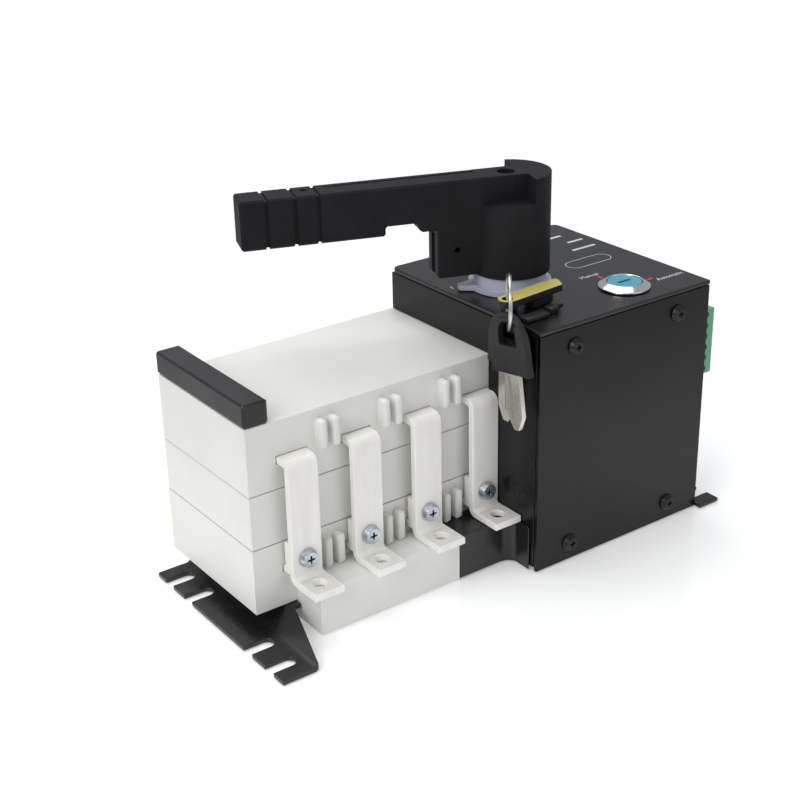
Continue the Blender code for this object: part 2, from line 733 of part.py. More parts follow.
def front_plate():
    top = BOX_TOP - COVER_SHEET - GAP
    body = box("front_plate", (BOX_LEFT + GAP, 0, LEDGE_BOTTOM), (BOX_RIGHT - GAP, SHEET, top), "black_paint")
    cut(body, *screw_holes("front_hole", -GAP, 2 * SHEET))


def front_screws():
    for i, x in enumerate(screw_columns()):
        for j, z in enumerate(screw_rows()):
            name = f"front_screw_{2 * i + j + 1}"
            head = 2.0 * MM
            screw = rod(name, (x, -GAP - head, z), 2.6 * MM, head, "Y", "black_screw", 20, SCREW_HEAD)
            shank = (x, -GAP - head / 2, z)
            join(screw, rod(name + "_shank", shank, 1.8 * MM, 7.5 * MM, "Y", segments=12))
            for size in ((3.0 * MM, 0.7 * MM), (0.7 * MM, 3.0 * MM)):
                low = (x - size[0] / 2, -2 * GAP - head, z - size[1] / 2)
                high = (x + size[0] / 2, -head / 2, z + size[1] / 2)
                cut(screw, box(f"{name}_cross_{size[0] > size[1]}", low, high))


def top_cover():
    right, back, radius = BOX_RIGHT, BOX_DEPTH, COVER_CORNER
    outline = [(BOX_LEFT, 0), (right, 0)]
    outline += arc((right - radius, back - radius), radius, 0, 90, 4)
    outline += arc((BOX_LEFT + radius, back - radius), radius, 90, 180, 4)
    cover = plate("top_cover", outline, COVER_SHEET, at_z(BOX_TOP - COVER_SHEET / 2), "black_paint")
    low, depth = BOX_TOP - COVER_SHEET - GAP, COVER_SHEET + 2 * GAP
    shaft_way = SHAFT_SIDE / math.sqrt(2) + RUNNING_GAP
    cut(cover, rod("shaft_way", (SHAFT_X, SHAFT_Y, low), shaft_way, depth, "Z"))
    cut(cover, rod("key_switch_way", (*KEY_SWITCH, low), BARREL_RADIUS + GAP, depth, "Z"))


# The drive: shaft, link bar, solenoid


def square_bar(name, side, bottom, top, finish=None):
    half = side / 2
    turn = Matrix.Translation((SHAFT_X, SHAFT_Y, 0)) @ Matrix.Rotation(ARM_DIRECTION, 4, "Z")
    bar = box(name, (-half, -half, bottom), (half, half, top), finish)
    bar.data.transform(turn)
    return bar


LINK_CRANK_Z = 58.0 * MM
PLUNGER_CRANK_Z = 26.0 * MM
CRANK_THICK = 3.0 * MM
PLUNGER_CRANK = 12.0 * MM


def crank(name, angle, radius, z):
    """A crank plate on the shaft with an upright pin at its end."""
    turn = Matrix.Translation((SHAFT_X, SHAFT_Y, z)) @ Matrix.Rotation(angle, 4, "Z")
    end = radius + 2.2 * MM
    arm = box(name, (0, -3.2 * MM, 0), (end, 3.2 * MM, CRANK_THICK))
    pin = rod(name + "_pin", (radius, 0, 0), PIN_RADIUS, CRANK_THICK + 5.5 * MM, "Z", segments=12)
    hub = rod(name + "_hub", (0, 0, 0), 6.8 * MM, CRANK_THICK, "Z", segments=20)
    for piece in (arm, pin, hub):
        piece.data.transform(turn)
    return arm, pin, hub


def drive_shaft(empty):
    """Square shaft that the handle sits on, with a crank for the link bar and one for the solenoid."""
    socket_top = ARM_BOTTOM - 4 * MM
    shaft = square_bar("drive_shaft", SHAFT_SIDE, FOOT_BOTTOM + FOOT_SHEET + GAP, socket_top, "bright_steel")
    join(shaft, *crank("link_crank", ARM_DIRECTION, CRANK_RADIUS, LINK_CRANK_Z))
    join(shaft, *crank("plunger_crank", ARM_DIRECTION - math.pi, PLUNGER_CRANK, PLUNGER_CRANK_Z))
    hang(empty, shaft)


def drive_link(empty):
    """Bar that slides front to back: the shaft's pin drives its fork, and its slots turn both carriers."""
    left = STACK_LENGTH + 2 * GAP + 2.2 * MM + GAP
    right = left + SHEET
    pins = [LOWER_AXIS - CRANK_DROP, UPPER_AXIS - CRANK_DROP]
    fork_z = LINK_CRANK_Z + CRANK_THICK + 1.0 * MM
    slot_half = PIN_RADIUS + RUNNING_GAP
    y = AXIS_Y + LINK_OFFSET
    body = box(
        "drive_link",
        (left, y - 6 * MM, pins[0] - 5 * MM),
        (right, y + 6 * MM, fork_z + SHEET),
        "bright_steel",
    )
    fork_y = SHAFT_Y + LINK_OFFSET
    tab = box(
        "drive_link_tab",
        (left, fork_y - slot_half - 3 * MM, fork_z),
        (SHAFT_X - SHAFT_SIDE / math.sqrt(2) - GAP, y + 6 * MM, fork_z + SHEET),
    )
    clip = box(
        "drive_link_clip",
        (right + 0.1 * MM, fork_y + slot_half + 3 * MM, fork_z - GAP),
        (SHAFT_X, y + 7 * MM, fork_z + SHEET + GAP),
    )
    mouth = box(
        "drive_link_mouth",
        (SHAFT_X - CRANK_RADIUS - PIN_RADIUS - GAP, fork_y - slot_half, fork_z - GAP),
        (SHAFT_X, fork_y + slot_half, fork_z + SHEET + GAP),
    )
    join(body, tab)
    cut(body, clip, mouth)
    for index, z in enumerate(pins):
        low = (left - GAP, y - slot_half, z - slot_half - 1.6 * MM)
        high = (right + GAP, y + slot_half, z + slot_half + 1.6 * MM)
        cut(body, box(f"link_slot_{index}", low, high))
    hang(empty, body)


SOLENOID_FRONT = 66.0 * MM
SOLENOID_SIZE = (30.0 * MM, 28.0 * MM, 34.0 * MM)


def plunger_place():
    x = SHAFT_X + PLUNGER_CRANK * math.cos(REST_TURN)
    z = PLUNGER_CRANK_Z + CRANK_THICK + 2.6 * MM
    return x, SHAFT_Y + PLUNGER_CRANK * math.sin(REST_TURN), z


def solenoid():
    x, _, z = plunger_place()
    low = (x - SOLENOID_SIZE[0] / 2, SOLENOID_FRONT, FOOT_BOTTOM + FOOT_SHEET + GAP)
    high = (x + SOLENOID_SIZE[0] / 2, SOLENOID_FRONT + SOLENOID_SIZE[1], z + SOLENOID_SIZE[2] / 2)
    body = box("drive_solenoid", low, high, "bright_steel")
    bore = rod("solenoid_bore", (x, SOLENOID_FRONT - GAP, z), 4.0 * MM + RUNNING_GAP, 27 * MM, "Y")
    cut(body, bore)


def plunger(empty):
    """Solenoid plunger with a crosswise slot for the shaft's second crank pin."""
    x, y, z = plunger_place()
    back = y + 6 * MM
    body = rod("solenoid_plunger", (x, back - GAP, z), 4.0 * MM, 26 * MM, "Y", "bright_steel", 20)
    inner = SHAFT_X + SHAFT_SIDE / math.sqrt(2) + RUNNING_GAP
    head = box("plunger_head", (inner, y - 5.5 * MM, z - 2.4 * MM), (x + 6 * MM, back, z + 2.4 * MM))
    slot_half = PIN_RADIUS + 1.5 * RUNNING_GAP
    slot = box(
        "plunger_slot",
        (inner - GAP, y - slot_half, z - 3 * MM),
        (SHAFT_X + PLUNGER_CRANK + slot_half, y + slot_half, z + 3 * MM),
    )
    cut(join(body, head), slot)
    hang(empty, body)


# Electronics


def control_board():
    """Circuit board along the right wall, with its relays."""
    right = BOX_RIGHT - SHEET - 2.0 * MM
    low = (right - 1.6 * MM, STRIP_Y - 2 * MM, 12 * MM)
    board = box("control_board", low, (right, 90 * MM, 100 * MM), "board_green")
    for index, (y, z, size) in enumerate(((30, 20, 18), (54, 20, 18), (32, 70, 22), (62, 64, 16))):
        corner = (low[0] - size * 0.6 * MM, y * MM, z * MM)
        join(board, box(f"relay_{index}", corner, (low[0] + GAP, (y + size) * MM, (z + size) * MM)))
    strip_low, strip_high = terminal_window()
    seat = box("header_seat", (right - 5 * MM, strip_low[1] - GAP, strip_low[2] - GAP),
               (right + GAP, strip_high[1] + GAP, strip_high[2] + GAP))
    cut(board, seat)
    foot = box("board_foot", (right - 8 * MM, 70 * MM, FOOT_SHEET), (right, 88 * MM, 14 * MM))
    join(board, foot)


def terminal_header():
    """Green socket strip on the board, open to the right through the wall's window."""
    low, high = STRIP_Z, STRIP_Z + STRIP_WAYS * STRIP_PITCH
    left = BOX_RIGHT - SHEET - 2.0 * MM - 4.6 * MM
    body = box(
        "terminal_header",
        (left, STRIP_Y, low),
        (BOX_RIGHT, STRIP_Y + STRIP_DEPTH, high),
        "green_plastic",
    )
    wall = 1.0 * MM
    mouth = box(
        "header_mouth",
        (left + 1.5 * MM, STRIP_Y + wall, low + wall),
        (BOX_RIGHT + GAP, STRIP_Y + STRIP_DEPTH - wall, high - wall),
    )
    cut(body, mouth)


def terminal_plug(empty):
    """Green plug with a wire entry a way, pushed into the header."""
    low, high = STRIP_Z, STRIP_Z + STRIP_WAYS * STRIP_PITCH
    left = BOX_RIGHT + GAP
    body = box(
        "terminal_plug",
        (left, STRIP_Y, low),
        (BOX_RIGHT + PLUG_REACH, STRIP_Y + STRIP_DEPTH, high),
        "green_plastic",
    )
    wall = 1.0 * MM + GAP
    nose = box(
        "plug_nose",
        (BOX_RIGHT - 4.4 * MM, STRIP_Y + wall, low + wall),
        (left + GAP, STRIP_Y + STRIP_DEPTH - wall, high - wall),
    )
    join(body, nose)
    for way in range(STRIP_WAYS):
        z = low + (way + 0.5) * STRIP_PITCH
        entry = (BOX_RIGHT + PLUG_REACH - 5 * MM, STRIP_Y + STRIP_DEPTH * 0.62, z)
        screw = (BOX_RIGHT + PLUG_REACH * 0.55, STRIP_Y - GAP, z)
        cut(body, rod(f"wire_entry_{way}", entry, 1.7 * MM, 6 * MM, "X", segments=12))
        cut(body, rod(f"clamp_screw_{way}", screw, 1.6 * MM, 2.5 * MM, "Y", segments=12))
    hang(empty, body)


def key_switch(empty):
    """Key switch: a bezel with its barrel through the cover, and a cylinder that turns in it."""
    top = BOX_TOP + GAP
    core = 7.6 * MM
    profile = [
        (core + 0.4 * MM, top + 2.7 * MM),
        (BEZEL_RADIUS, top + 0.8 * MM),
        (BEZEL_RADIUS, top),
        (BARREL_RADIUS, top),
        (BARREL_RADIUS, top - BARREL_LENGTH),
        (core - 1.6 * MM, top - BARREL_LENGTH),
        (core - 1.6 * MM, top + 0.2 * MM),
        (core, top + 0.2 * MM),
        (core, top + 2.4 * MM),
    ]
    turned("key_switch_body", profile, KEY_SWITCH, "chrome")
    face = core - GAP
    bottom = top + 0.2 * MM + GAP
    lock = rod("key_switch_cylinder", (*KEY_SWITCH, bottom), face, 1.9 * MM, "Z", "blue_face", 32)
    stem = rod("cylinder_stem", (*KEY_SWITCH, top - 18 * MM), core - 1.6 * MM - GAP, 18.2 * MM, "Z")
    slot_z = bottom + 1.9 * MM
    slot = box(
        "key_slot",
        (KEY_SWITCH[0] - 3.6 * MM, KEY_SWITCH[1] - 0.9 * MM, slot_z - 9 * MM),
        (KEY_SWITCH[0] + 3.6 * MM, KEY_SWITCH[1] + 0.9 * MM, slot_z + GAP),
    )
    stem_top = rod("cylinder_neck", (*KEY_SWITCH, top), core - 1.6 * MM - GAP, 1.0 * MM, "Z")
    cut(join(lock, stem, stem_top), slot)
    hang(empty, lock)


# Handle and indicator, turning with the shaft


def handle(empty):
    """Moulded handle: a round hub over the shaft, a long grip with grooves, and a lug behind the hub."""
    half = ARM_WIDTH / 2
    side_view = [(0, LUG_BOTTOM), (LUG_REACH, LUG_BOTTOM), (LUG_REACH, ARM_BOTTOM), (41 * MM, ARM_BOTTOM)]
    side_view += [(43 * MM, ARM_BOTTOM + 4 * MM), (56 * MM, ARM_BOTTOM + 4 * MM), (56 * MM, ARM_BOTTOM)]
    side_view += [(ARM_LENGTH, ARM_BOTTOM), (ARM_LENGTH, ARM_TOP), (0, ARM_TOP)]
    grip = soften(plate("handle", side_view, ARM_WIDTH, at_y(0), "handle_black"), 0.8 * MM)
    middle = (ARM_BOTTOM + ARM_TOP) / 2
    tall = (ARM_TOP - ARM_BOTTOM) / 2
    outer, depth = 3 * MM, 0.8 * MM
    grooves = []
    for index, x in enumerate((83.4 * MM, 93.0 * MM, 104.6 * MM)):
        around = rectangle((0, middle), half + outer, tall + outer)
        inside = rectangle((0, middle), half - depth, tall - depth)
        grooves.append(plate(f"grip_groove_{index}", around, 1.6 * MM, at_x(x), holes=[inside]))
    hub = rod("handle_hub", (0, 0, HUB_BOTTOM), HUB_RADIUS, ARM_TOP - HUB_BOTTOM - 0.1 * MM, "Z", segments=48)
    side = half - 0.2 * MM
    front = box("hub_front", (-5 * MM, side, HUB_LEDGE), (30 * MM, 30 * MM, ARM_TOP + GAP))
    back = box("hub_back", (-3 * MM, -30 * MM, HUB_LEDGE), (30 * MM, -side, ARM_TOP + GAP))
    cut(hub, front, back)
    slit = box("lug_slit", (LUG_REACH - 6 * MM, -2 * MM, LUG_BOTTOM - GAP), (LUG_REACH + GAP, 2 * MM, 137 * MM))
    long_slot = box("top_slot", (15.4 * MM, -3.8 * MM, ARM_TOP - 6 * MM), (79 * MM, -2.6 * MM, ARM_TOP + GAP))
    screw_well = rod("screw_well", (2.5 * MM, 0.5 * MM, ARM_TOP - 5 * MM), 3.7 * MM, 6 * MM, "Z")
    side_hole = rod("side_hole", (25.6 * MM, half - 4 * MM, 130.3 * MM), 1.3 * MM, 5 * MM, "Y", segments=12)
    cord_hole = rod("cord_hole", (87.8 * MM, -1.5 * MM, ARM_TOP - 4 * MM), 1.4 * MM, 5 * MM, "Z", segments=12)
    reach = SHAFT_SIDE / 2 + GAP
    socket = box("shaft_socket", (-reach, -reach, HUB_BOTTOM - GAP), (reach, reach, ARM_BOTTOM - 4 * MM + GAP))
    wells = [slit, long_slot, screw_well, side_hole, cord_hole, socket]
    cut(join(grip, hub), *wells, *grooves)
    place = Matrix.Translation((SHAFT_X, SHAFT_Y, 0)) @ Matrix.Rotation(ARM_DIRECTION, 4, "Z")
    for piece in (grip, hub, front, back, *wells, *grooves):
        piece.data.transform(place)
    hang(empty, grip, hub)


def rectangle(centre, half_width, half_height):
    x, y = centre
    return [
        (x - half_width, y - half_height),
        (x + half_width, y - half_height),
        (x + half_width, y + half_height),
        (x - half_width, y + half_height),
    ]


def indicator_ring(empty):
    """Translucent collar on the shaft under the hub, with a pointer that shows the handle's position."""
    bottom, flange_top, top = BOX_TOP + GAP, BOX_TOP + 2.8 * MM, HUB_BOTTOM - GAP
    body = rod("indicator_ring", (0, 0, bottom), RING_RADIUS, flange_top - bottom, "Z", "lavender_plastic", 40)
    collar = rod("indicator_collar", (0, 0, bottom), RING_COLLAR, top - bottom, "Z", segments=40)
    outline = [(10 * MM, -7 * MM), (POINTER_REACH, -1.6 * MM), (POINTER_REACH, 1.6 * MM), (10 * MM, 7 * MM)]
    pointer = plate("indicator_pointer", outline, flange_top - bottom - 0.4 * MM,
                    at_z((bottom + flange_top) / 2))
    reach = SHAFT_SIDE / 2 + GAP
    socket = box("indicator_socket", (-reach, -reach, bottom - GAP), (reach, reach, top + GAP))
    place = Matrix.Translation((SHAFT_X, SHAFT_Y, 0)) @ Matrix.Rotation(ARM_DIRECTION, 4, "Z")
    for piece in (body, collar, pointer, socket):
        piece.data.transform(place)
    cut(join(body, collar, pointer), socket)
    hang(empty, body)


# Padlock slide, ring and keys


def lock_place():
    return Matrix.Translation((*LOCK_EYE, 0)) @ Matrix.Rotation(LOCK_ANGLE, 4, "Z")


def lock_slide(empty):
    """Flat slide with an eye for a padlock, which the key ring is threaded through."""
    half = LOCK_WIDTH / 2
    outline = arc((0, 0), half, 90, 270, 10)
    outline += [(LOCK_LENGTH - 3 * MM, -half), (LOCK_LENGTH, half - 3 * MM), (LOCK_LENGTH, half - 1 * MM)]
    outline += [(LOCK_LENGTH - 9 * MM, half)]
    hole = arc((0, 0), 2.3 * MM, 360, 22.5, 15)
    place = lock_place() @ at_z(LOCK_TOP - LOCK_THICK / 2)
    hang(empty, plate("lock_slide", outline, LOCK_THICK, place, "yellow_plastic", [hole]))


def lock_guide():
    """Black block on the cover that the slide runs on."""
    low = (12 * MM, -3 * MM, BOX_TOP + GAP)
    high = (24 * MM, 3 * MM, LOCK_TOP - LOCK_THICK - GAP)
    guide = box("lock_guide", low, high, "black_moulding")
    guide.data.transform(lock_place())
    soften(guide, 0.5 * MM)


def key_ring(empty):
    """Ring threaded through the slide's eye, standing in an upright plane."""
    cage = bmesh.new()
    steps, sides = 36, 6
    profile = [
        cage.verts.new((KEY_RING_RADIUS + KEY_WIRE * math.cos(a), 0, KEY_WIRE * math.sin(a)))
        for a in (2 * math.pi * i / sides for i in range(sides))
    ]
    edges = [cage.edges.new((profile[i], profile[(i + 1) % sides])) for i in range(sides)]
    bmesh.ops.spin(
        cage, geom=profile + edges, cent=(0, 0, 0), axis=(0, 0, 1), dvec=(0, 0, 0),
        angle=2 * math.pi, steps=steps, use_merge=True,
    )
    away = Vector((LOCK_EYE[0] - RING_CENTRE[0], LOCK_EYE[1] - RING_CENTRE[1], 0)).normalized()
    turn = Matrix.Rotation(math.atan2(away.y, away.x), 4, "Z") @ Matrix.Rotation(math.pi / 2, 4, "X")
    bmesh.ops.transform(cage, matrix=Matrix.Translation(RING_CENTRE) @ turn, verts=cage.verts)
    bmesh.ops.recalc_face_normals(cage, faces=cage.faces)
    mesh = bpy.data.meshes.new("key_ring")
    cage.to_mesh(mesh)
    cage.free()
    hang(empty, add("key_ring", mesh, "bright_steel"))


def ring_at(x):
    """Where the lower half of the ring's wire passes this x, and its slope there (rise for one step in x)."""
    across = Vector((LOCK_EYE[0] - RING_CENTRE[0], LOCK_EYE[1] - RING_CENTRE[1], 0)).normalized()
    cosine = (x - RING_CENTRE[0]) / (KEY_RING_RADIUS * across.x)
    sine = -math.sqrt(1 - cosine * cosine)
    y = RING_CENTRE[1] + KEY_RING_RADIUS * cosine * across.y
    z = RING_CENTRE[2] + KEY_RING_RADIUS * sine
    return (x, y, z), abs(cosine / (sine * across.x))


def key(name, x, tilt, empty):
    """Flat key: a moulded head with a round top and a wide eye, and a steel blade."""
    width, height = KEY_HEAD
    half, top = width / 2, 6.8 * MM
    outline = arc((0, top - half), half, 0, 180, 12)
    outline += [(-half - 0.5 * MM, top - height), (half + 0.5 * MM, top - height)]
    eye = arc((0, 0), 5.4 * MM, 0, 180, 8) + [(-5.4 * MM, -4.8 * MM), (5.4 * MM, -4.8 * MM)]
    (_, y, z), slope = ring_at(x)
    eye_z = z - 2.4 * MM + slope * KEY_THICK / 2
    place = Matrix.Translation((x, y, eye_z)) @ Matrix.Rotation(tilt, 4, "X") @ FACING_RIGHT
    head = plate(name, outline, KEY_THICK, place, "black_moulding", [eye])
    half, foot = KEY_BLADE[0] / 2, top - height - KEY_BLADE[1]
    shape = [(-half, top - height + 3 * MM), (-half, foot + 6 * MM), (-1.5 * MM, foot), (1.5 * MM, foot)]
    shape += [(half, foot + 6 * MM), (half, top - height + 3 * MM)]
    blade = plate(name + "_blade", shape, KEY_BLADE[2], place)
    join(head, blade)
    hang(empty, head)


def build_stack():
    pole_base()
    pole_middle()
    pole_top()
    end_bar()
    link_side_block()
    left_foot()
    for pole in range(POLES):
        load_link(pole)
        load_terminal(pole)
        load_screw(pole)
        supply_terminal(f"supply_upper_{pole + 1}", pole, UPPER_SUPPLY_Z)
        supply_terminal(f"supply_lower_{pole + 1}", pole, LOWER_SUPPLY_Z)
    crank_angle = CARRIER_RATIO * REST_TURN
    closed_upper = SWING - REST_TURN
    closed_lower = -SWING - REST_TURN
    for name, axis_z, closed in (
        ("upper", UPPER_AXIS, closed_upper),
        ("lower", LOWER_AXIS, closed_lower),
    ):
        empty = axis_empty(f"{name}_carrier_axis", (STACK_LENGTH, AXIS_Y, axis_z))
        body = carrier(f"{name}_contact_carrier", axis_z, crank_angle, empty)
        moving_contacts(f"{name}_moving_contact", body, axis_z, -CARRIER_RATIO * closed, empty)


def build_drive():
    base_plate()
    housing()
    top_cover()
    front_plate()
    front_screws()
    solenoid()
    control_board()
    terminal_header()
    lock_guide()
    shaft_axis = axis_empty("handle_axis", (SHAFT_X, SHAFT_Y, BOX_TOP))
    drive_shaft(shaft_axis)
    indicator_ring(shaft_axis)
    handle(axis_empty("handle_lift_axis", (SHAFT_X, SHAFT_Y, HUB_BOTTOM), shaft_axis))
    drive_link(axis_empty("link_axis", (STACK_LENGTH, AXIS_Y, STACK_MIDDLE)))
    plunger(axis_empty("plunger_axis", plunger_place()))
    terminal_plug(axis_empty("plug_axis", (BOX_RIGHT, STRIP_Y, STRIP_Z)))
    key_switch(axis_empty("key_switch_axis", (*KEY_SWITCH, BOX_TOP)))


def build_keys():
    slide_axis = axis_empty("lock_slide_axis", (*LOCK_EYE, LOCK_TOP))
    lock_slide(slide_axis)
    ring_axis = axis_empty("key_ring_axis", (*LOCK_EYE, LOCK_TOP - LOCK_THICK / 2), slide_axis)
    key_ring(ring_axis)
    rear_x = BOX_LEFT - 2.6 * MM
    for name, x, tilt in (
        ("key_front", rear_x - 1.4 * KEY_THICK, KEY_TILTS[0]),
        ("key_rear", rear_x, KEY_TILTS[1]),
    ):
        empty = axis_empty(f"{name}_axis", ring_at(x)[0], ring_axis)
        key(name, x, tilt, empty)


build_stack()
build_drive()
build_keys()
bpy.context.view_layer.update()
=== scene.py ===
"""Looks of the four-pole automatic transfer switch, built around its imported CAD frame."""

import json
import math

import bmesh
import bpy
from mathutils import Matrix, Vector


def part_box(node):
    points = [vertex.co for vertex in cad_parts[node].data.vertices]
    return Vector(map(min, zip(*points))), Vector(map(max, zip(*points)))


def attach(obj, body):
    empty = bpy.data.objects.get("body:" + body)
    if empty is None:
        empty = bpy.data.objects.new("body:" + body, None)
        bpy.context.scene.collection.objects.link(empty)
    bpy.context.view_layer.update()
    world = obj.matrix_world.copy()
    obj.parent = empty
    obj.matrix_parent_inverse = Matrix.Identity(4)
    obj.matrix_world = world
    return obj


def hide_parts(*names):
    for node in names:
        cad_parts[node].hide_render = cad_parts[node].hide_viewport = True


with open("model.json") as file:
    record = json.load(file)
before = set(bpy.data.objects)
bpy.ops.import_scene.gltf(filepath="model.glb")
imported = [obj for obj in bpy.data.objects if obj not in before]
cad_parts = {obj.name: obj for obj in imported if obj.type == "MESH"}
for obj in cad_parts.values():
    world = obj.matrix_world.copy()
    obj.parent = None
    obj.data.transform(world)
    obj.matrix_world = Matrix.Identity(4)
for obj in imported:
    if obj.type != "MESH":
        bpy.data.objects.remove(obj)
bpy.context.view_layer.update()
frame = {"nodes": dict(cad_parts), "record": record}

# Pole stack: three white mouldings laid on each other, with pairs of round-edged ribs at the pole walls.
# A black end bar lies across its left end, and a painted block fills the gap beside its ledge. Places are
# in millimetres from the stack's left end, the drive box's front plate and the floor.
MM = 0.001
ROW_ORIGIN = Vector((107.2, 52.9, 0.0))
BODY_OF = {n: b for b, nodes in frame["record"]["behaviour"]["bodies"].items() for n in nodes}
SLOT_OF = {s["node"]: s["material_slot"] for s in frame["record"]["subparts"]}
MATERIALS = {}
WELD_DISTANCE = 0.005
FLAT_TOLERANCE = 0.6


def point(x, y, z):
    return (Vector((x, y, z)) - ROW_ORIGIN) * MM


def socket(group, name, direction, kind="NodeSocketFloat", value=None):
    made = group.interface.new_socket(name=name, in_out=direction, socket_type=kind)
    if value is not None:
        made.default_value = value
    return made


def grain_group():
    """A fine moulded or sprayed grain, as a normal."""
    group = bpy.data.node_groups.new("surface_grain", "ShaderNodeTree")
    socket(group, "Scale", "INPUT", value=900.0)
    socket(group, "Height", "INPUT", value=0.1)
    socket(group, "Normal", "OUTPUT", "NodeSocketVector")
    socket(group, "Value", "OUTPUT")
    nodes, links = group.nodes, group.links
    enter, leave = nodes.new("NodeGroupInput"), nodes.new("NodeGroupOutput")
    place, noise, bump = (
        nodes.new(k) for k in ("ShaderNodeTexCoord", "ShaderNodeTexNoise", "ShaderNodeBump")
    )
    noise.inputs["Detail"].default_value = 4.0
    bump.inputs["Distance"].default_value = 0.0002
    links.new(place.outputs["Object"], noise.inputs["Vector"])
    links.new(enter.outputs["Scale"], noise.inputs["Scale"])
    links.new(noise.outputs["Fac"], bump.inputs["Height"])
    links.new(enter.outputs["Height"], bump.inputs["Strength"])
    links.new(bump.outputs["Normal"], leave.inputs["Normal"])
    links.new(noise.outputs["Fac"], leave.inputs["Value"])
    return group


def marks_group():
    """A mask of the patches that handling leaves."""
    group = bpy.data.node_groups.new("handling_marks", "ShaderNodeTree")
    socket(group, "Scale", "INPUT", value=40.0)
    socket(group, "Stretch", "INPUT", "NodeSocketVector", (1.0, 1.0, 1.0))
    socket(group, "Mask", "OUTPUT")
    nodes, links = group.nodes, group.links
    enter, leave = nodes.new("NodeGroupInput"), nodes.new("NodeGroupOutput")
    place, size, noise, ramp = (
        nodes.new(k)
        for k in ("ShaderNodeTexCoord", "ShaderNodeVectorMath", "ShaderNodeTexNoise", "ShaderNodeMapRange")
    )
    size.operation = "MULTIPLY"
    noise.inputs["Detail"].default_value = 6.0
    noise.inputs["Roughness"].default_value = 0.65
    ramp.inputs["From Min"].default_value = 0.42
    ramp.inputs["From Max"].default_value = 0.68
    links.new(place.outputs["Object"], size.inputs[0])
    links.new(enter.outputs["Stretch"], size.inputs[1])
    links.new(size.outputs["Vector"], noise.inputs["Vector"])
    links.new(enter.outputs["Scale"], noise.inputs["Scale"])
    links.new(noise.outputs["Fac"], ramp.inputs["Value"])
    links.new(ramp.outputs["Result"], leave.inputs["Mask"])
    return group


GRAIN, MARKS = grain_group(), marks_group()


def material(slot, colour, roughness, metallic=0.0, grain=(900.0, 0.1), worn=None, stretch=(1, 1, 1),
             marks=40.0, spread=0.1, **extra):
    """Principled finish with grain in its normal, and marks that shift its colour and roughness."""
    made = bpy.data.materials.new(f"{slot}_look")
    made.use_nodes = True
    nodes, links = made.node_tree.nodes, made.node_tree.links
    shader = nodes["Principled BSDF"]
    shader.inputs["Metallic"].default_value = metallic
    for name, value in extra.items():
        shader.inputs[name.replace("_", " ")].default_value = value
    fine, mask = nodes.new("ShaderNodeGroup"), nodes.new("ShaderNodeGroup")
    fine.node_tree, mask.node_tree = GRAIN, MARKS
    fine.inputs["Scale"].default_value, fine.inputs["Height"].default_value = grain
    mask.inputs["Scale"].default_value = marks
    mask.inputs["Stretch"].default_value = stretch
    mix = nodes.new("ShaderNodeMix")
    mix.data_type = "RGBA"
    mix.inputs["A"].default_value = (*colour, 1)
    mix.inputs["B"].default_value = (*(worn or [min(1, c * 1.12 + 0.004) for c in colour]), 1)
    rough = nodes.new("ShaderNodeMapRange")
    rough.inputs["To Min"].default_value = roughness
    rough.inputs["To Max"].default_value = min(1, roughness + spread)
    links.new(mask.outputs["Mask"], mix.inputs["Factor"])
    links.new(mask.outputs["Mask"], rough.inputs["Value"])
    links.new(mix.outputs["Result"], shader.inputs["Base Color"])
    links.new(rough.outputs["Result"], shader.inputs["Roughness"])
    links.new(fine.outputs["Normal"], shader.inputs["Normal"])
    MATERIALS[slot] = made
    return made


def place_piece(name, mesh, body):
    piece = bpy.data.objects.new(name, mesh)
    bpy.context.scene.collection.objects.link(piece)
    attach(piece, body)
    return piece


def soften(piece, width, segments=2, angle=34):
    """Flat faces merged, edges rounded, and flat faces kept flat in the shading."""
    flat = piece.modifiers.new("merge_flat_faces", "DECIMATE")
    flat.decimate_type = "DISSOLVE"
    flat.angle_limit = math.radians(FLAT_TOLERANCE)
    edge = piece.modifiers.new("round_edges", "BEVEL")
    edge.width = width * MM
    edge.segments = segments
    edge.limit_method = "ANGLE"
    edge.angle_limit = math.radians(angle)
    even = piece.modifiers.new("even_shading", "WEIGHTED_NORMAL")
    even.weight = 100
    piece.data.shade_smooth()
    return piece


def refine(node, width=0.35, segments=2, material=None, angle=34):
    """The CAD node's own shape with its vertices welded and its edges rounded."""
    mesh = frame["nodes"][node].data.copy()
    mesh.name = f"{node}_shape"
    cage = bmesh.new()
    cage.from_mesh(mesh)
    bmesh.ops.remove_doubles(cage, verts=cage.verts, dist=WELD_DISTANCE * MM)
    cage.to_mesh(mesh)
    cage.free()
    mesh.materials.clear()
    imported_normals = mesh.attributes.get("custom_normal")
    if imported_normals:
        mesh.attributes.remove(imported_normals)
    mesh.materials.append(MATERIALS[material or SLOT_OF[node]])
    piece = place_piece(f"{node}_shown", mesh, BODY_OF[node])
    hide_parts(node)
    if width:
        return soften(piece, width, segments, angle)
    mesh.shade_smooth()
    mesh.set_sharp_from_angle(angle=math.radians(angle))
    return piece


def box_piece(name, low, high, slot, body, bevel=0.0, turn=None, material=None):
    """An edge-rounded block between two corners in millimetres."""
    low, high = point(*low), point(*high)
    cage = bmesh.new()
    bmesh.ops.create_cube(cage, size=1.0)
    bmesh.ops.scale(cage, vec=high - low, verts=cage.verts)
    centre = (low + high) / 2
    matrix = Matrix.Translation(centre) @ (turn or Matrix.Identity(4))
    bmesh.ops.transform(cage, matrix=matrix, verts=cage.verts)
    if bevel:
        bmesh.ops.bevel(
            cage, geom=cage.edges[:], offset=bevel * MM, segments=2, profile=0.5, affect="EDGES"
        )
    mesh = bpy.data.meshes.new(name)
    cage.to_mesh(mesh)
    cage.free()
    mesh.materials.append(MATERIALS[material or slot])
    piece = place_piece(name, mesh, body)
    mesh.shade_smooth()
    mesh.set_sharp_from_angle(angle=math.radians(50))
    return piece


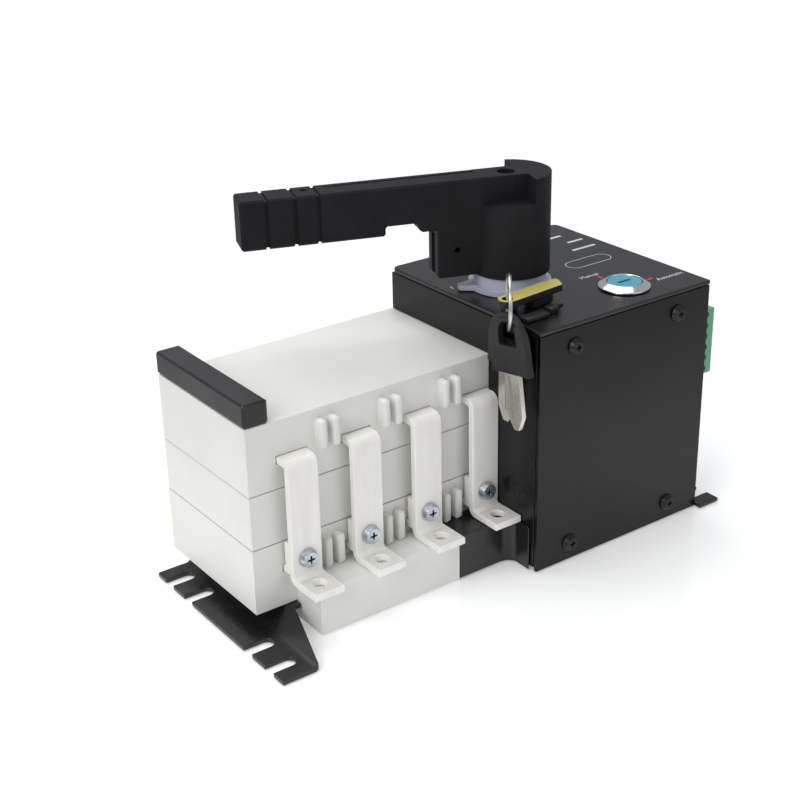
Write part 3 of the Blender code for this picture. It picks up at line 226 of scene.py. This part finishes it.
material("white_moulding", (0.76, 0.765, 0.725), 0.36, grain=(1500.0, 0.1), worn=(0.74, 0.745, 0.705))
material("black_moulding", (0.012, 0.012, 0.0135), 0.34, grain=(1800.0, 0.15), Specular_IOR_Level=0.42)
material("black_paint", (0.006, 0.006, 0.0068), 0.26, grain=(700.0, 0.1), spread=0.06, marks=18.0)
for layer in ("pole_base_moulding", "pole_middle_moulding", "pole_top_moulding"):
    refine(layer, 0.45)
refine("end_bar", 0)
refine("link_side_block", 0.5)
POLE_WALLS = (35.3, 65.3, 95.3)
RIB_SPREAD = 3.0
RIB_LEFT, RIB_RIGHT = 1.05, 2.3
RIB_FRONT, RIB_BACK = 28.1, 33.6
RIB_ROOT = 0.3
RIB_HEIGHTS = ((74.2, 86.0), (21.2, 34.0))
RIB_ROUNDING = 1.1
for wall in POLE_WALLS:
    for side in (-RIB_SPREAD, RIB_SPREAD):
        for low, high in RIB_HEIGHTS:
            x = wall + side
            foot = (x - RIB_LEFT, RIB_FRONT, low - RIB_ROOT)
            head = (x + RIB_RIGHT, RIB_BACK, high)
            box_piece(f"rib_{x:.0f}_{low:.0f}", foot, head, "white_moulding", "frame", RIB_ROUNDING)

# Load bars: silver-plated copper strips with a rounded bend and a drilled tab crossed by shallow lines,
# drawn as thin strips of painted shade.
# Each is held by a zinc-plated cross-head screw. Behind them stand the fixed terminals of the load and of
# both supplies, and the copper blades that swing between them.
material(
    "tinned_copper", (0.92, 0.905, 0.865), 0.5, 0.12, (1200.0, 0.1), (0.85, 0.83, 0.78), (1, 1, 0.15), 120.0
)
material("groove_shade", (0.34, 0.33, 0.31), 0.5, 0.7, (1200.0, 0.1))
material("zinc_screw", (0.48, 0.53, 0.59), 0.26, 1.0, (1500.0, 0.08), (0.56, 0.6, 0.64))
# Near-black painted shade for the insides of holes: the screws' cross recesses and the key slot.
material("painted_hole_shade", (0.004, 0.004, 0.004), 0.7)
material("copper", (0.72, 0.34, 0.18), 0.32, 1.0, (900.0, 0.1), (0.55, 0.25, 0.13))
POLES = range(1, 5)
BAR_THICKNESS = 3.0
TAB_LINES = 13
FIRST_TAB_LINE, TAB_LINE_PITCH, TAB_LINE_WIDTH = 10.3, 0.95, 0.16
TAB_LINE_SUNK, TAB_LINE_PROUD = 0.1, 0.03
TAB_LINE_LEFT, TAB_LINE_RIGHT, TAB_MIDDLE = 0.6, 13.1, 6.85
HOLE_Y, HOLE_RADIUS = 16.9, 3.2
CROSS_LENGTH, CROSS_WIDTH = 2.0, 0.45
CROSS_FRONT, CROSS_BACK = 0.5, 0.9
for pole in POLES:
    refine(f"load_link_{pole}", 0.4)
    refine(f"load_terminal_{pole}", 0.3)
    refine(f"load_screw_{pole}", 0.25)
    tab_low, tab_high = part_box(f"load_link_{pole}")
    left = tab_low.x / MM + ROW_ORIGIN.x
    tab_top = tab_low.z / MM + BAR_THICKNESS
    # Each shallow line is a thin strip of painted shade, darker than the tinned copper around it.
    for line in range(TAB_LINES):
        y = FIRST_TAB_LINE + TAB_LINE_PITCH * line
        hole_half = max(0.0, HOLE_RADIUS**2 - (y - HOLE_Y) ** 2) ** 0.5
        spans = [(left + TAB_LINE_LEFT, left + TAB_LINE_RIGHT)]
        if hole_half:
            spans = [
                (left + TAB_LINE_LEFT, left + TAB_MIDDLE - hole_half),
                (left + TAB_MIDDLE + hole_half, left + TAB_LINE_RIGHT),
            ]
        for span, (start, end) in enumerate(spans):
            low = (start, y, tab_top - TAB_LINE_SUNK)
            high = (end, y + TAB_LINE_WIDTH, tab_top + TAB_LINE_PROUD)
            box_piece(f"tab_line_{pole}_{line}_{span}", low, high, "tinned_copper", "frame",
                      material="groove_shade")
    screw_low, screw_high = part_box(f"load_screw_{pole}")
    middle = (screw_low + screw_high) / 2 / MM + ROW_ORIGIN
    face = screw_low.y / MM + ROW_ORIGIN.y
    # Cross recess of each screw: two crossed near-black blocks of painted shade standing for the shade
    # inside the recess.
    for wide, tall in ((CROSS_LENGTH, CROSS_WIDTH), (CROSS_WIDTH, CROSS_LENGTH)):
        low = (middle.x - wide, face + CROSS_FRONT, middle.z - tall)
        high = (middle.x + wide, face + CROSS_BACK, middle.z + tall)
        box_piece(f"cross_recess_{pole}_{wide > tall}", low, high, "zinc_screw", "frame",
                  material="painted_hole_shade")
    for supply in ("supply_upper", "supply_lower"):
        refine(f"{supply}_{pole}", 0.3)
    for supply in ("upper", "lower"):
        refine(f"{supply}_moving_contact_{pole}", 0)

# Feet: pressed steel sheet in black paint, with open slots for the fixing screws at both ends. The left
# one folds up under the pole stack, and the right one is the floor of the drive box.
refine("left_foot", 0.3)
refine("drive_base_plate", 0.25)

# Drive box: a folded steel housing with a front plate, both in a duller black than the cover on top.
# Four black cross-head screws hold the front plate.
material("case_paint", (0.004, 0.004, 0.0045), 0.24, grain=(700.0, 0.1), spread=0.06, marks=18.0,
         Specular_IOR_Level=0.27)
material("black_screw", (0.02, 0.02, 0.022), 0.26, 0.6, (1500.0, 0.1))
refine("drive_housing", 0.35, material="case_paint")
refine("front_plate", 0.3, material="case_paint")
refine("top_cover", 0.4)
for screw in range(1, 5):
    refine(f"front_screw_{screw}", 0.25)

# Printing on the cover: the two mode words with their red marks at the key switch, a dash beside the
# handle's pointer, three blank bars and a blank outline, all screen-printed and almost flat.
material("print_white", (0.6, 0.61, 0.62), 0.5)
material("print_red", (0.5, 0.035, 0.03), 0.5)
PRINT_Z = 109.84
PRINT_HALF_HEIGHT = 0.02
WORD_SIZE = 3.6
OUTLINE_WIDTH = 0.35


def cover_text(name, words, centre, size):
    curve = bpy.data.curves.new(name, "FONT")
    curve.body = words
    curve.size = size * MM
    curve.align_x = "CENTER"
    curve.align_y = "CENTER"
    curve.extrude = PRINT_HALF_HEIGHT * MM
    curve.materials.append(MATERIALS["print_white"])
    text = bpy.data.objects.new(name, curve)
    text.location = point(*centre, PRINT_Z)
    bpy.context.scene.collection.objects.link(text)
    bpy.context.view_layer.update()
    mesh = bpy.data.meshes.new_from_object(text.evaluated_get(bpy.context.evaluated_depsgraph_get()))
    mesh.transform(text.matrix_world)
    bpy.data.objects.remove(text)
    return place_piece(name, mesh, "frame")


def cover_line(name, start, end, width, finish):
    start, end = Vector((*start, 0)), Vector((*end, 0))
    along = end - start
    middle = (start + end) / 2
    half = Vector((along.length / 2, width / 2, PRINT_HALF_HEIGHT))
    turn = Matrix.Rotation(math.atan2(along.y, along.x), 4, "Z")
    centre = Vector((middle.x, middle.y, PRINT_Z))
    return box_piece(name, centre - half, centre + half, "black_paint", "frame", turn=turn, material=finish)


cover_text("word_manual", "Manual", (176.4, 36.0), WORD_SIZE)
cover_text("word_automatic", "Automatic", (203.2, 14.3), WORD_SIZE)
cover_line("pointer_mark", (122.1, 63.6), (121.2, 60.4), 0.5, "print_white")
cover_line("mark_manual", (179.0, 33.4), (179.0, 30.2), 1.3, "print_red")
cover_line("mark_automatic", (192.4, 17.0), (195.6, 17.0), 1.3, "print_red")
cover_line("field_bar_1", (193.0, 84.4), (203.0, 84.4), 1.6, "print_white")
cover_line("field_bar_2", (199.0, 75.0), (208.0, 75.0), 1.6, "print_white")
cover_line("field_bar_3", (193.5, 65.5), (207.0, 65.5), 1.6, "print_white")
CAPSULE_CENTRE, CAPSULE_HALF, CAPSULE_RADIUS = (189.4, 50.6), 8.0, 4.2
CAPSULE_STEPS = 8
for side in (-1, 1):
    y = CAPSULE_CENTRE[1] + side * CAPSULE_RADIUS
    left, right = CAPSULE_CENTRE[0] - CAPSULE_HALF, CAPSULE_CENTRE[0] + CAPSULE_HALF
    cover_line(f"capsule_side_{side}", (left, y), (right, y), OUTLINE_WIDTH, "print_white")
    for step in range(CAPSULE_STEPS):
        corners = []
        for turned in (step, step + 1):
            angle = math.pi * (turned / CAPSULE_STEPS - 0.5)
            corners.append((
                CAPSULE_CENTRE[0] + side * (CAPSULE_HALF + CAPSULE_RADIUS * math.cos(angle)),
                CAPSULE_CENTRE[1] + CAPSULE_RADIUS * math.sin(angle),
            ))
        cover_line(f"capsule_end_{side}_{step}", *corners, OUTLINE_WIDTH, "print_white")

# Drive inside the box: a steel shaft with its cranks, the slotted link bar that turns both contact
# carriers, the solenoid with its plunger, and the control board. The carriers are black mouldings.
material("bright_steel", (0.68, 0.66, 0.62), 0.24, 1.0, (1500.0, 0.06), (0.56, 0.54, 0.5))
material("board_green", (0.02, 0.14, 0.06), 0.45, grain=(500.0, 0.1))
for node in ("drive_shaft", "drive_link", "solenoid_plunger"):
    refine(node, 0)
for node in ("drive_solenoid", "control_board"):
    refine(node, 0.2)
for node in ("upper_contact_carrier", "lower_contact_carrier"):
    refine(node, 0)

# Handle: one fine-grained black moulding that lifts off the shaft's square. Under it a grey-violet
# translucent ring with a pointer turns with the shaft.
material("handle_black", (0.011, 0.011, 0.0125), 0.5, grain=(2200.0, 0.22), spread=0.1,
         Specular_IOR_Level=0.12)
material("lavender_plastic", (0.5, 0.48, 0.58), 0.28, grain=(900.0, 0.05), Subsurface_Weight=0.2)
refine("handle", 0.3, angle=28)
refine("indicator_ring", 0.25)

# Key switch: a polished conical bezel that sits in the cover, with a blue turning face. The face has a key
# slot, drawn as a block of painted shade, and a short white line beside it.
material("chrome", (0.72, 0.72, 0.73), 0.14, 1.0, (900.0, 0.03))
material("blue_face", (0.07, 0.31, 0.43), 0.32, grain=(1500.0, 0.1))
SWITCH_FACE = 112.3
refine("key_switch_body", 0.25)
refine("key_switch_cylinder", 0.2)
# The key slot is a near-black block of painted shade standing for the dark inside of the slot.
box_piece("key_slot_shade", (175.6, 16.3, 108.0), (182.4, 17.7, 111.6), "blue_face", "switch_cylinder",
          material="painted_hole_shade")
box_piece("slot_line", (181.2, 17.9, SWITCH_FACE - 0.2), (181.7, 20.2, SWITCH_FACE + 0.04), "blue_face",
          "switch_cylinder", material="print_white")

# Padlock slide: a black moulding with a yellow upper face, over its guide and some small blocks on the
# cover. A steel ring through its eye carries two keys with black moulded heads and steel blades.
material("yellow_plastic", (0.58, 0.5, 0.15), 0.34, grain=(1500.0, 0.1))
UPWARD = 0.9
slide = refine("lock_slide", 0.3)
slide.data.materials.append(MATERIALS["black_moulding"])
for face in slide.data.polygons:
    face.material_index = 0 if face.normal.z > UPWARD else 1
refine("lock_guide", 0)
LOCK_BLOCKS = (
    ((119.6, 10.2, 109.85), (131.5, 15.6, 111.9)),
    ((120.5, 24.6, 109.85), (126.5, 28.4, 111.6)),
    ((133.5, 12.0, 109.85), (138.0, 16.5, 112.6)),
    ((139.0, 17.0, 109.85), (145.0, 19.2, 110.6)),
)
for index, (low, high) in enumerate(LOCK_BLOCKS):
    box_piece(f"lock_base_{index}", low, high, "black_moulding", "frame", 0.5)
refine("key_ring", 0, angle=80)
KEY_HEAD_LENGTH = 23.0
KEY_HEAD_OVERLAP = 6.0
BLADE_HALF_THICKNESS = 1.2
TIP_HEIGHT = 0.3
GROOVE_RISE = 14.0
GROOVE_HALF = (0.06, 0.45, 9.0)


def key_piece(node, tilt):
    """Moulded head, bare steel below it, and a groove in painted shade along both faces of the blade."""
    piece = refine(node, 0.35)
    low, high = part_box(node)
    piece.data.materials.append(MATERIALS["bright_steel"])
    middle_x = (low.x + high.x) / 2
    head_foot = high.z - KEY_HEAD_LENGTH * MM
    for face in piece.data.polygons:
        corners = [piece.data.vertices[v].co for v in face.vertices]
        thin = all(abs(c.x - middle_x) < BLADE_HALF_THICKNESS * MM for c in corners)
        if thin and face.center.z < head_foot + KEY_HEAD_OVERLAP * MM:
            face.material_index = 1
    tips = [v.co for v in piece.data.vertices if v.co.z < low.z + TIP_HEIGHT * MM]
    tip = sum(tips, Vector()) / len(tips) / MM + ROW_ORIGIN
    rise = Matrix.Rotation(tilt, 3, "X") @ Vector((0, 0, GROOVE_RISE))
    middle = Vector((middle_x / MM + ROW_ORIGIN.x, tip.y, tip.z)) + rise
    # Each groove is a thin slab of painted shade laid on a face of the blade.
    for side in (-1.0, 1.0):
        groove = Vector((middle.x + side, middle.y, middle.z))
        half = Vector(GROOVE_HALF)
        box_piece(f"{node}_groove_{side:.0f}", groove - half, groove + half, "black_moulding", BODY_OF[node],
                  turn=Matrix.Rotation(tilt, 4, "X"), material="groove_shade")


key_piece("key_front", math.radians(-9.0))
key_piece("key_rear", 0.0)

# Terminal strip: a green header in the right wall and the green plug pushed into it. The plug has six
# wire ways, and a steel screw stands in each clamp hole.
material("green_plastic", (0.14, 0.4, 0.22), 0.38, grain=(1500.0, 0.1))
WAYS, WAY_PITCH = 6, 5.08
BOX_RIGHT, PLUG_REACH, CLAMP_SHARE = 213.3, 10.4, 0.55
CLAMP_HALF, CLAMP_FRONT, CLAMP_BACK = 1.0, 7.2, 8.0
refine("terminal_header", 0.2)
refine("terminal_plug", 0.3)
plug_low, plug_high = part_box("terminal_plug")
for way in range(WAYS):
    z = plug_low.z / MM + WAY_PITCH * (way + 0.5)
    x = BOX_RIGHT + PLUG_REACH * CLAMP_SHARE
    box_piece(f"clamp_screw_{way}", (x - CLAMP_HALF, CLAMP_FRONT, z - CLAMP_HALF),
              (x + CLAMP_HALF, CLAMP_BACK, z + CLAMP_HALF), "green_plastic", "plug", 0.2,
              material="bright_steel")

# Stage: a pale floor that fades out around the object, three soft lights, and a surround that is white
# to the camera and a dim cool white to everything else.
STAGE_WHITE = (0.93, 0.93, 0.93, 1)
FLOOR_HALF = 6.0
FLOOR_DROP = 0.0004
FADE_START, FADE_END = 0.16, 0.5
floor_mesh = bpy.data.meshes.new("floor")
floor_corners = [
    (-FLOOR_HALF, -FLOOR_HALF, 0), (FLOOR_HALF, -FLOOR_HALF, 0),
    (FLOOR_HALF, FLOOR_HALF, 0), (-FLOOR_HALF, FLOOR_HALF, 0),
]
floor_mesh.from_pydata(floor_corners, [], [(0, 1, 2, 3)])
floor = bpy.data.objects.new("floor", floor_mesh)
floor.location.z = -FLOOR_DROP
floor_look = bpy.data.materials.new("floor_look")
floor_look.use_nodes = True
nodes, links = floor_look.node_tree.nodes, floor_look.node_tree.links
surface, output = nodes["Principled BSDF"], nodes["Material Output"]
surface.inputs["Base Color"].default_value = STAGE_WHITE
surface.inputs["Roughness"].default_value = 0.1
surface.inputs["Emission Color"].default_value = (1, 1, 1, 1)
surface.inputs["Emission Strength"].default_value = 0.22
away, distance, fading, clear, fade = (
    nodes.new(k)
    for k in ("ShaderNodeTexCoord", "ShaderNodeVectorMath", "ShaderNodeMapRange",
              "ShaderNodeBsdfTransparent", "ShaderNodeMixShader")
)
distance.operation = "LENGTH"
fading.inputs["From Min"].default_value = FADE_START
fading.inputs["From Max"].default_value = FADE_END
links.new(away.outputs["Object"], distance.inputs[0])
links.new(distance.outputs["Value"], fading.inputs["Value"])
links.new(fading.outputs["Result"], fade.inputs["Fac"])
links.new(surface.outputs["BSDF"], fade.inputs[1])
links.new(clear.outputs["BSDF"], fade.inputs[2])
links.new(fade.outputs["Shader"], output.inputs["Surface"])
floor_mesh.materials.append(floor_look)
bpy.context.scene.collection.objects.link(floor)

LIGHTS = (
    ("key_light", (-1.4, -0.45, 1.1), 13.5, 1.0),
    ("fill_light", (0.5, -1.4, 0.7), 3.0, 1.2),
    ("top_light", (0.0, 0.6, 1.6), 20.0, 1.6),
)
LIT_POINT = Vector((0, 0, 0.06))
for name, spot, energy, size in LIGHTS:
    lamp = bpy.data.lights.new(name, "AREA")
    lamp.energy = energy
    lamp.size = size
    light = bpy.data.objects.new(name, lamp)
    light.location = spot
    light.rotation_euler = (LIT_POINT - Vector(spot)).to_track_quat("-Z", "Y").to_euler()
    bpy.context.scene.collection.objects.link(light)

world = bpy.data.worlds.new("white_surround")
bpy.context.scene.world = world
world.use_nodes = True
tree = world.node_tree
tree.nodes.clear()
path, mix, output = (
    tree.nodes.new(k) for k in ("ShaderNodeLightPath", "ShaderNodeMixShader", "ShaderNodeOutputWorld")
)
seen, ambient = tree.nodes.new("ShaderNodeBackground"), tree.nodes.new("ShaderNodeBackground")
seen.inputs["Color"].default_value = (1, 1, 1, 1)
ambient.inputs["Color"].default_value = (0.95, 0.97, 1, 1)
ambient.inputs["Strength"].default_value = 0.42
tree.links.new(path.outputs["Is Camera Ray"], mix.inputs["Fac"])
tree.links.new(ambient.outputs["Background"], mix.inputs[1])
tree.links.new(seen.outputs["Background"], mix.inputs[2])
tree.links.new(mix.outputs["Shader"], output.inputs["Surface"])

# Camera: at the front left of the switch and above its cover, looking down on the load bars. Its place
# is in the same millimetres as the pieces.
CAMERA_PLACE = (-246.9, -412.4, 334.0)
CAMERA_RIGHT = Vector((0.80721, -0.58992, -0.02004))
CAMERA_UP = Vector((0.26133, 0.32673, 0.90827))
camera_data = bpy.data.cameras.new("camera")
camera_data.lens = 67.61
camera_data.sensor_width = 36.0
camera = bpy.data.objects.new("camera", camera_data)
camera_turn = Matrix((CAMERA_RIGHT, CAMERA_UP, CAMERA_RIGHT.cross(CAMERA_UP))).transposed()
camera.matrix_world = Matrix.Translation(point(*CAMERA_PLACE)) @ camera_turn.to_4x4()
bpy.context.scene.collection.objects.link(camera)
bpy.context.scene.camera = camera
bpy.context.scene.view_settings.view_transform = "Standard"
